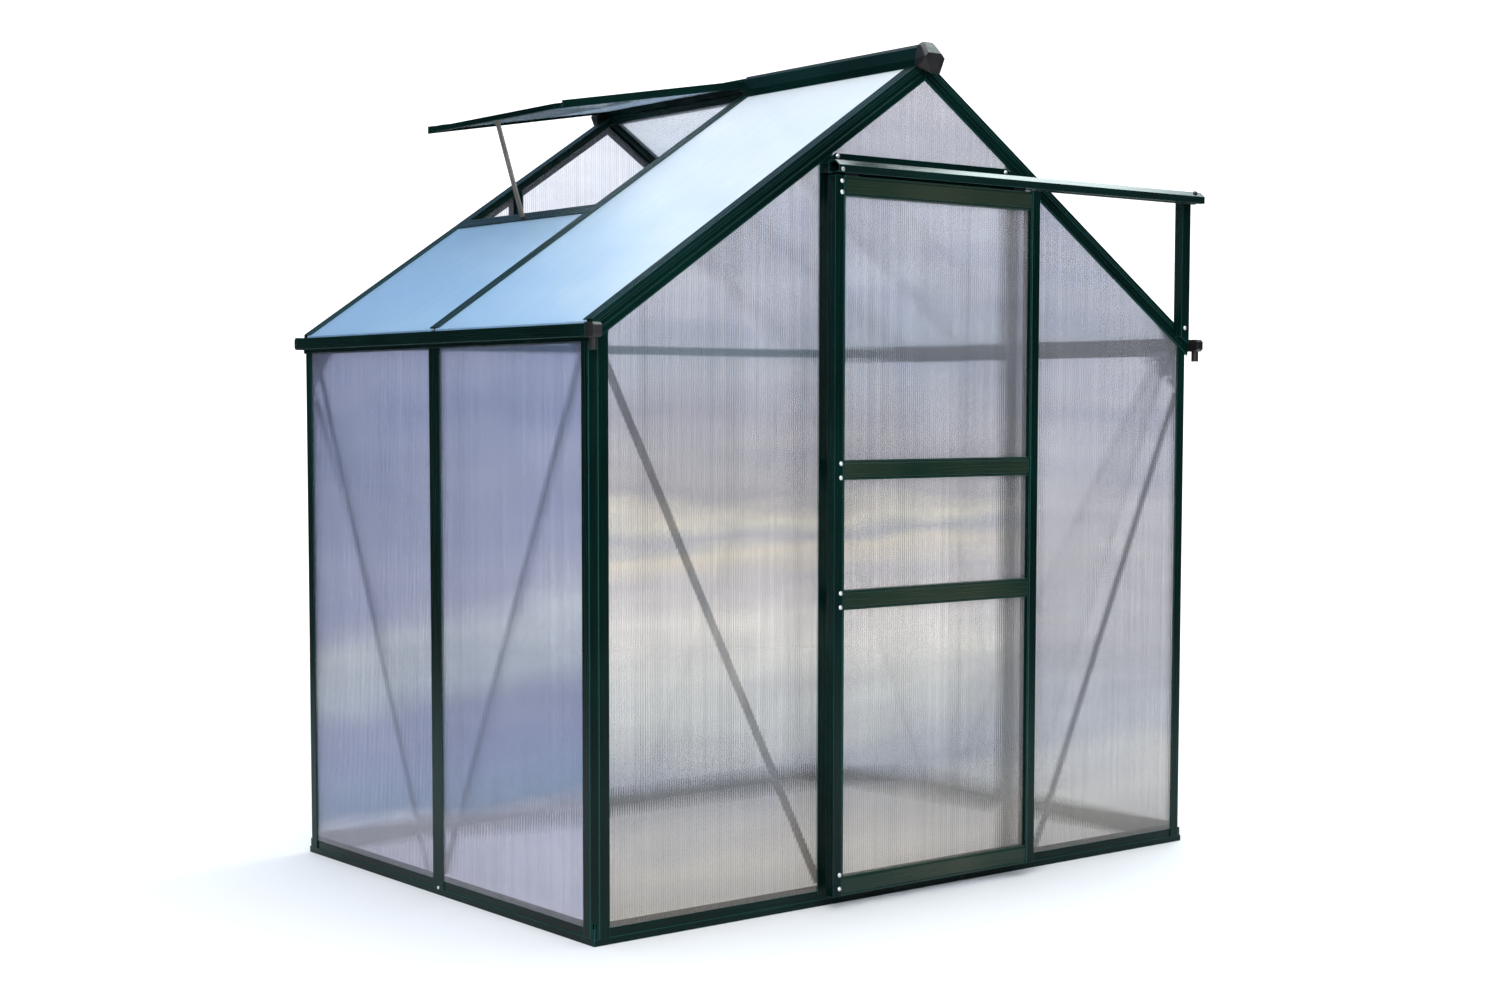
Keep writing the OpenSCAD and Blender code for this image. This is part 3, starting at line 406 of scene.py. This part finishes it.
def twinWall(name, spec, across, lie, calm=None):
    # tone by height, with painted reflections in it, dimmed by level streaks and by fine lines that lie along
    # the flutes
    material, tree, shader, place = newMaterial(name)
    tilted = mapped(tree, place, rotation=(math.radians(spec["tilt"]), 0.0, 0.0))
    paintedBand = useGroup(tree, paintedReflectionBands, {"Vector": tilted, "Low": spec["low"], "High": spec["high"],
                                        "Shake": spec["shake"]})["Band"]
    level = mapped(tree, place, scale=sheetMake["levelStretch"])
    streaks = useGroup(tree, slowCloud, {"Vector": level, "Scale": sheetMake["streaks"]})["Cloud"]
    drawn = mapped(tree, place, scale=lie)
    lines = useGroup(tree, extrusionLines, {"Vector": drawn, "Fineness": sheetMake["lines"]})["Lines"]
    cloud = useGroup(tree, slowCloud, {"Vector": place, "Scale": sheetMake["cloud"]})["Cloud"]
    leaning = useGroup(tree, fluteNormal, {"Vector": place, "Across": across, "Count": sheetMake["count"],
                                           "Lean": sheetMake["lean"]})["Normal"]
    tone = rampOver(tree, paintedBand, spec["stops"])
    if calm:
        parts = addNode(tree, "SeparateXYZ", {"Vector": place})
        fade = spreadFrom(tree, parts.outputs["X"], calm["ends"])
        tone = mixTones(tree, fade, tone, rampOver(tree, paintedBand, calm["stops"]))
    streaked = mixTones(tree, streaks, tone, spec["streak"], "MULTIPLY")
    setInputs(tree, shader, {
        "Base Color": mixTones(tree, lines, streaked, spec["line"], "MULTIPLY"),
        "Roughness": spreadTo(tree, cloud, spec["gloss"]),
        "Normal": leaning,
        "IOR": sheetMake["ior"],
        "Transmission Weight": spec["through"],
    })
    return material


acrossX, acrossY = (1.0, 0.0, 0.0), (0.0, 1.0, 0.0)
downSlope = (drawnOut, 1.0, drawnOut)
frontPane = twinWall("twin_wall_front", frontSheet, acrossX, alongZ, frontCalm)
backPane = twinWall("twin_wall_back", backSheet, acrossX, alongZ)
sidePane = twinWall("twin_wall_side", sideSheet, acrossY, alongZ)
farSidePane = twinWall("twin_wall_far_side", farSideSheet, acrossY, alongZ)
roofPane = twinWall("twin_wall_roof", roofSheet, acrossY, downSlope)
ventPane = twinWall("twin_wall_vent", ventSheet, acrossY, downSlope)
farRoofPane = twinWall("twin_wall_far_roof", farRoofSheet, acrossY, downSlope)

wallFilm = {
    "tones": [(0.60, 0.61, 0.68), (0.74, 0.74, 0.76)], "alpha": (0.10, 0.22), "cloud": 9.0, "gloss": 0.4,
}
roofFilm = dict(wallFilm, tones=[(0.62, 0.74, 0.86), (0.80, 0.88, 0.94)], alpha=(0.12, 0.22))


def ribFilm(name, spec):
    # a thin milky film, so that a rib shows faintly through its sheet
    material, tree, shader, place = newMaterial(name)
    cloud = useGroup(tree, slowCloud, {"Vector": place, "Scale": spec["cloud"]})["Cloud"]
    setInputs(tree, shader, {
        "Base Color": mixTones(tree, cloud, *spec["tones"]),
        "Alpha": spreadTo(tree, cloud, spec["alpha"]),
        "Roughness": spec["gloss"],
    })
    return material


wallRib = ribFilm("twin_wall_rib", wallFilm)
roofRib = ribFilm("twin_wall_roof_rib", roofFilm)
print("finishes built")


# Finishes on the CAD nodes

finishes = {
    paintUpright: ["front_left_post", "front_right_post", "back_left_post", "back_right_post",
                   "left_middle_post", "right_middle_post", "back_studs", "door_jambs", "track_brackets",
                   "track_support", "door_stiles"],
    paintAcross: ["front_sill", "back_sill", "door_header"],
    paintRailSheen: ["door_rails"],
    paintTrack: ["door_track"],
    paintTieHaze: ["back_tie"],
    paintDeep: ["left_sill", "right_sill", "left_gutter", "right_gutter", "ridge", "vent_cross_bar",
                "vent_frame"],
    paintLeftSlope: ["front_left_rafter", "back_left_rafter", "left_roof_bar"],
    paintRightSlope: ["front_right_rafter", "back_right_rafter", "right_roof_bar"],
    capPlastic: ["gutter_end_caps", "ridge_hoods", "door_rollers"],
    frontPane: ["front_wall_sheets", "door_sheets"],
    backPane: ["back_wall_sheets"],
    sidePane: ["left_wall_sheets"],
    farSidePane: ["right_wall_sheets"],
    roofPane: ["left_roof_sheets"],
    ventPane: ["vent_sheet"],
    farRoofPane: ["right_roof_sheets"],
    flatMetal: ["wall_braces", "eave_gussets", "door_hangers"],
    stayMetal: ["vent_stay"],
}
for material, names in finishes.items():
    for name in names:
        nodes[name].data.materials.clear()
        nodes[name].data.materials.append(material)
print("finishes on", sum(len(names) for names in finishes.values()), "nodes")


# Ribs between the two skins of the sheets

flutes = {"pitch": 0.0065, "rib": 0.0006, "skin": 0.0005, "edgeNear": 1e-4}


def ribBoxes(lowEnds, highEnds, across, deep):
    # a rib is a thin box: both its end points, each moved half its width across and half its depth
    # through the sheet
    along = highEnds[0] - lowEnds[0]
    through = np.cross(along, across)
    halfAcross = across * flutes["rib"] / 2
    halfDeep = through / np.linalg.norm(through) * deep / 2
    turns = np.array([(-1, -1), (1, -1), (1, 1), (-1, 1)])
    ring = turns[:, :1] * halfAcross + turns[:, 1:] * halfDeep
    points = np.stack([lowEnds[:, None] + ring, highEnds[:, None] + ring], axis=1).reshape(-1, 8, 3)
    sides = np.array([(0, 1, 5, 4), (1, 2, 6, 5), (2, 3, 7, 6), (3, 0, 4, 7), (3, 2, 1, 0), (4, 5, 6, 7)])
    return points, sides + 8 * np.arange(len(points))[:, None, None]


def ribPlaces(low, high):
    count = int((high - low) / flutes["pitch"])
    first = (low + high - (count - 1) * flutes["pitch"]) / 2
    return first + flutes["pitch"] * np.arange(count)


def uprightRibs(solid, axis):
    # upright ribs stand on the sheet's foot and reach the straight lines through its upper corners
    low, high = solid.min(axis=0), solid.max(axis=0)
    at = ribPlaces(low[axis], high[axis])
    upper = solid[solid[:, 2] > low[2] + flutes["skin"]]
    upper = upper[np.argsort(upper[:, axis])]
    lowEnds = np.tile((low + high) / 2, (len(at), 1))
    lowEnds[:, axis] = at
    highEnds = lowEnds.copy()
    lowEnds[:, 2] = low[2] + flutes["skin"]
    highEnds[:, 2] = np.interp(at, upper[:, axis], upper[:, 2]) - flutes["skin"]
    return ribBoxes(lowEnds, highEnds, np.eye(3)[axis], (high - low)[1 - axis] - 2 * flutes["skin"])


def slopeRibs(solid, deep):
    # ribs run down the slope between the middles of the sheet's upper and lower edges
    reach = np.abs(solid[:, 0])
    upper = solid[reach < reach.min() + flutes["edgeNear"]].mean(axis=0)
    lower = solid[reach > reach.max() - flutes["edgeNear"]].mean(axis=0)
    at = ribPlaces(solid[:, 1].min(), solid[:, 1].max())
    lowEnds = np.tile(lower, (len(at), 1))
    highEnds = np.tile(upper, (len(at), 1))
    lowEnds[:, 1] = at
    highEnds[:, 1] = at
    return ribBoxes(lowEnds, highEnds, np.eye(3)[1], deep)


def joined(parts):
    # the points one after another, each part's faces counted on from the points before it
    points = [part[0].reshape(-1, 3) for part in parts]
    starts = np.cumsum([0] + [len(some) for some in points])
    faces = [part[1].reshape(-1, 4) + start for part, start in zip(parts, starts)]
    return np.concatenate(points), np.concatenate(faces).tolist()


doorLow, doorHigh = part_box("door_sheets")
ribDeep = doorHigh.y - doorLow.y - 2 * flutes["skin"]
for node, axis, body in [("front_wall_sheets", 0, "house"), ("back_wall_sheets", 0, "house"),
                         ("left_wall_sheets", 1, "house"), ("right_wall_sheets", 1, "house"),
                         ("door_sheets", 0, "door")]:
    ribs = joined([uprightRibs(solid, axis) for solid in looseSolids(node)])
    addPiece(node.replace("sheets", "flutes"), *ribs, body, "twin_wall_sheet", wallRib)
for node, name in [("left_roof_sheets", "left_roof_flutes"), ("right_roof_sheets", "right_roof_flutes"),
                   ("vent_sheet", "vent_flutes")]:
    ribs = joined([slopeRibs(solid, ribDeep) for solid in looseSolids(node)])
    addPiece(name, *ribs, "house", "twin_wall_sheet", roofRib)
print("flutes made")


# Screws and bolts

def turnedHead(spec):
    # radius and height follow the washer, its edge and a quarter round head, turned round the axis
    # and closed by poles
    rise = np.linspace(0, math.pi / 2, spec["steps"])[1:-1]
    radius = np.concatenate([[spec["washer"], spec["washer"], spec["head"]], spec["head"] * np.cos(rise)])
    height = spec["washerThick"] * np.array([0, 1, 1])
    height = np.concatenate([height, spec["washerThick"] + spec["headHigh"] * np.sin(rise)])
    angle = np.linspace(0, 2 * math.pi, spec["sides"], endpoint=False)
    ring = np.stack([np.outer(radius, np.cos(angle)), np.outer(radius, np.sin(angle)),
                     np.repeat(height[:, None], len(angle), axis=1)], axis=-1).reshape(-1, 3)
    points = np.concatenate([ring, [(0, 0, 0), (0, 0, spec["washerThick"] + spec["headHigh"])]])
    rings, sides = len(radius), spec["sides"]
    near = np.arange(sides)
    after = (near + 1) % sides
    start = np.arange(rings - 1)[:, None] * sides
    walls = np.stack([start + near, start + after, start + sides + after, start + sides + near], axis=-1)
    foot = np.stack([after, near, np.full(sides, rings * sides)], axis=-1)
    top = np.stack([near, after, np.full(sides, rings * sides + 1)], axis=-1)
    top[:, :2] += (rings - 1) * sides
    return points, walls.reshape(-1, 4), np.concatenate([foot, top])


def carriedHeads(places, outward, spec):
    # the turned head is laid on each place with its axis along the outward direction; the helper is
    # any direction well away from that axis
    points, quads, fans = turnedHead(spec)
    outward = np.asarray(outward, float)
    helper = np.where(np.abs(outward[:, 2:]) > 0.9, [[1.0, 0, 0]], [[0, 0, 1.0]])
    first = np.cross(helper, outward)
    first /= np.linalg.norm(first, axis=1)[:, None]
    second = np.cross(outward, first)
    axes = np.stack([first, second, outward], axis=1)
    carried = np.einsum("pk,nkc->npc", points, axes) + np.asarray(places, float)[:, None]
    shift = len(points) * np.arange(len(carried))[:, None, None]
    faces = (quads + shift).reshape(-1, 4).tolist() + (fans + shift).reshape(-1, 3).tolist()
    return carried, faces


toBack, toFront, toRight, toLeft = (0, 1, 0), (0, -1, 0), (1, 0, 0), (-1, 0, 0)

# two screws at each rail, counted from the lowest rail, given from the rail's middle
doorScrew = {
    "washer": 0.0052, "washerThick": 0.0009, "head": 0.0043, "headHigh": 0.0030, "sides": 20, "steps": 5,
    "lifts": [(-0.0085, 0.0235), (-0.0145, 0.0175), (-0.0160, 0.0160), (-0.0085, 0.0165)],
}
latch = min(looseSolids("door_stiles"), key=lambda stile: stile[:, 0].mean())
rails = sorted(looseSolids("door_rails"), key=lambda rail: rail[:, 2].min())
screwPlaces = [
    (latch[:, 0].mean(), latch[:, 1].min(), rail[:, 2].mean() + lift)
    for rail, lifts in zip(rails, doorScrew["lifts"]) for lift in lifts
]
screwHeads = carriedHeads(screwPlaces, [toFront] * len(screwPlaces), doorScrew)
addPiece("door_screws", *screwHeads, "door", "bare_aluminium", boltMetal, True)

# bolts are seated by rays: before and beside are where the rays start, lead is their start inside the house
frameBolt = {
    "washer": 0.0056, "washerThick": 0.0010, "head": 0.0045, "headHigh": 0.0034, "sides": 20, "steps": 5,
    "before": -1.0, "beside": 2.0, "lead": 0.05, "earX": 0.2695, "earDrops": (0.0065, 0.0085),
    "footX": 0.9045, "footZ": 1.357, "sillY": 0.0175, "sillZ": 0.0170, "braceInset": 0.016,
    "braceEnd": 1e-3, "leafNear": 1e-4, "gussetShare": 0.55,
}


def towardWall(solid):
    # a flat plate faces the wall that it is fixed to: along its thinnest axis, away from the house's middle
    thin = np.ptp(solid, axis=0).argmin()
    return np.eye(3)[thin] * np.sign(solid[:, thin].mean())


def braceRays(node, spec):
    # one ray near each end of a brace, from inside the house
    for solid in looseSolids(node):
        low = solid[solid[:, 2] < solid[:, 2].min() + spec["braceEnd"]].mean(axis=0)
        high = solid[solid[:, 2] > solid[:, 2].max() - spec["braceEnd"]].mean(axis=0)
        step = (high - low) * spec["braceInset"] / np.linalg.norm(high - low)
        way = towardWall(solid)
        for place in (low + step, high - step):
            yield node, place - spec["lead"] * way, way


def gussetRays(node, spec):
    # one ray near each of the two sharp corners of the three-cornered leaf on the side wall, from inside
    for solid in looseSolids(node):
        reach = np.abs(solid[:, 0])
        corners = solid[reach > reach.max() - spec["leafNear"]]
        middle = corners.mean(axis=0)
        order = np.argsort(np.linalg.norm(corners - middle, axis=1))
        way = towardWall(solid)
        for corner in corners[order[1:]]:
            yield node, middle + spec["gussetShare"] * (corner - middle) - spec["lead"] * way, way


def seated(rays):
    # where each ray meets its node, with the face's outward direction
    found = [nodes[node].ray_cast(Vector(start), Vector(way)) for node, start, way in rays]
    met = [(place, normal) for hit, place, normal, face in found if hit]
    return [place for place, normal in met], [normal for place, normal in met]


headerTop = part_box("door_header")[1].z
boltRays = [("door_header", (side * frameBolt["earX"], frameBolt["before"], headerTop - drop), toBack)
            for side, drop in zip((-1, 1), frameBolt["earDrops"])]
boltRays += [
    ("track_support", (frameBolt["footX"], frameBolt["before"], frameBolt["footZ"]), toBack),
    ("left_sill", (-frameBolt["beside"], frameBolt["sillY"], frameBolt["sillZ"]), toRight),
    ("right_sill", (frameBolt["beside"], frameBolt["sillY"], frameBolt["sillZ"]), toLeft),
]
boltRays += [*braceRays("wall_braces", frameBolt), *gussetRays("eave_gussets", frameBolt)]
boltHeads = carriedHeads(*seated(boltRays), frameBolt)
addPiece("frame_bolts", *boltHeads, "house", "bare_aluminium", boltMetal, True)

trackScrew = {
    "washer": 0.0050, "washerThick": 0.0003, "head": 0.0036, "headHigh": 0.0003, "sides": 20, "steps": 5,
    "x": -0.3126, "before": -1.0, "lift": 0.0070,
}
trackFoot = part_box("door_track")[0].z
screwRay = ("door_track", (trackScrew["x"], trackScrew["before"], trackFoot + trackScrew["lift"]), toBack)
screwHead = carriedHeads(*seated([screwRay]), trackScrew)
addPiece("track_screw", *screwHead, "house", "bare_aluminium", boltMetal, True)

trackStop = {
    "washer": 0.0062, "washerThick": 0.0022, "head": 0.0056, "headHigh": 0.0036, "sides": 20, "steps": 5,
    "from": (0.902, -0.7497, 1.7781), "way": (0, 0.6402, -0.7682),
}
stopHead = carriedHeads(*seated([("door_track", trackStop["from"], trackStop["way"])]), trackStop)
addPiece("track_stop", *stopHead, "house", "black_plastic", capPlastic, True)
print("screws and", len(boltRays), "bolts made")


# Floor, light and camera

floorSpec = {
    "radius": 30.0, "sides": 64, "fade": (2.6, 6.0), "tone": (0.88, 0.885, 0.89), "gloss": 0.7, "shine": 0.1,
}


def paleFloor(spec):
    # one flat disc round the middle, which its material lets fade out with distance
    angle = np.linspace(0, 2 * math.pi, spec["sides"], endpoint=False)
    points = np.stack([spec["radius"] * np.cos(angle), spec["radius"] * np.sin(angle), np.zeros_like(angle)],
                      axis=-1)
    mesh = bpy.data.meshes.new("pale_floor")
    mesh.from_pydata(points.tolist(), [], [list(range(len(angle)))])
    material, tree, shader, place = newMaterial("pale_floor")
    away = addNode(tree, "VectorMath", {0: place}, operation="LENGTH")
    fade = addNode(tree, "MapRange", {"Value": away.outputs["Value"], "From Min": spec["fade"][0],
                                      "From Max": spec["fade"][1], "To Min": 1.0, "To Max": 0.0},
                   interpolation_type="SMOOTHSTEP")
    setInputs(tree, shader, {"Alpha": fade.outputs["Result"], "Base Color": (*spec["tone"], 1),
                             "Roughness": spec["gloss"], "Specular IOR Level": spec["shine"]})
    mesh.materials.append(material)
    floor = bpy.data.objects.new("pale_floor", mesh)
    scene.collection.objects.link(floor)


studio = {
    "plain": 1.40, "sky": 1.0,
    "stops": [(0.0, (0.5, 0.5, 0.5)), (0.48, (0.09, 0.09, 0.09)), (0.60, (0.04, 0.06, 0.09)),
              (0.80, (0.20, 0.34, 0.52)), (0.92, (0.95, 1.0, 1.05)), (1.0, (1.0, 1.03, 1.08))],
}


def studioWorld(spec):
    # white where the lens sees it, bare or through a sheet; for gloss and bounce a bright sky over a
    # dark level band
    world = bpy.data.worlds.new("studio")
    scene.world = world
    world.use_nodes = True
    tree = world.node_tree
    tree.nodes.clear()
    way = addNode(tree, "TexCoord").outputs["Generated"]
    parts = addNode(tree, "SeparateXYZ", {"Vector": way})
    up = spreadFrom(tree, parts.outputs["Z"], (-1.0, 1.0))
    sky = addNode(tree, "Background", {"Color": rampOver(tree, up, spec["stops"]), "Strength": spec["sky"]})
    plain = addNode(tree, "Background", {"Color": (1, 1, 1, 1), "Strength": spec["plain"]})
    ray = addNode(tree, "LightPath").outputs
    seen = calculate(tree, "MAXIMUM", ray["Is Camera Ray"], ray["Is Transmission Ray"])
    mix = addNode(tree, "MixShader", {0: seen, 1: sky.outputs["Background"], 2: plain.outputs["Background"]})
    addNode(tree, "OutputWorld", {"Surface": mix.outputs["Shader"]})


softLights = {
    "key": {"at": (-4.2, -4.0, 4.6), "size": 3.2, "watts": 260.0, "tone": (1.0, 0.985, 0.96)},
    "front": {"at": (-1.2, -6.4, 3.4), "size": 2.6, "watts": 90.0, "tone": (1.0, 0.97, 0.92)},
    "over": {"at": (0.4, 0.8, 6.0), "size": 4.0, "watts": 180.0, "tone": (0.94, 0.97, 1.0)},
    "side": {"at": (2.9, 0.35, 4.9), "size": 2.4, "watts": 120.0, "tone": (0.86, 1.0, 0.97)},
}
lightAim = Vector((0, 0, 1.0))


def softLight(name, spec):
    light = bpy.data.lights.new(name, "AREA")
    light.energy = spec["watts"]
    light.size = spec["size"]
    light.color = spec["tone"]
    lamp = bpy.data.objects.new(name, light)
    lamp.location = spec["at"]
    lamp.rotation_euler = (lightAim - Vector(spec["at"])).to_track_quat("-Z", "Y").to_euler()
    scene.collection.objects.link(lamp)


lens = {
    "at": (-3.5929, -4.4297, 1.1465), "millimetres": 52.732, "sensor": 36.0, "yaw": 37.878, "pitch": -3.9286,
    "shift": (0.0263, 0.04), "farthest": 200.0,
}


def photoCamera(spec):
    camera = bpy.data.cameras.new("photo_camera")
    camera.sensor_width = spec["sensor"]
    camera.lens = spec["millimetres"]
    camera.shift_x, camera.shift_y = spec["shift"]
    camera.clip_end = spec["farthest"]
    holder = bpy.data.objects.new("photo_camera", camera)
    holder.location = spec["at"]
    holder.rotation_euler = (math.radians(90 + spec["pitch"]), 0, -math.radians(spec["yaw"]))
    scene.collection.objects.link(holder)
    scene.camera = holder


paleFloor(floorSpec)
studioWorld(studio)
for name, spec in softLights.items():
    softLight(name, spec)
photoCamera(lens)
scene.view_settings.view_transform = "Standard"
scene.cycles.transparent_max_bounces = 32    # a glancing look passes many ribs
print("floor, light and camera set")
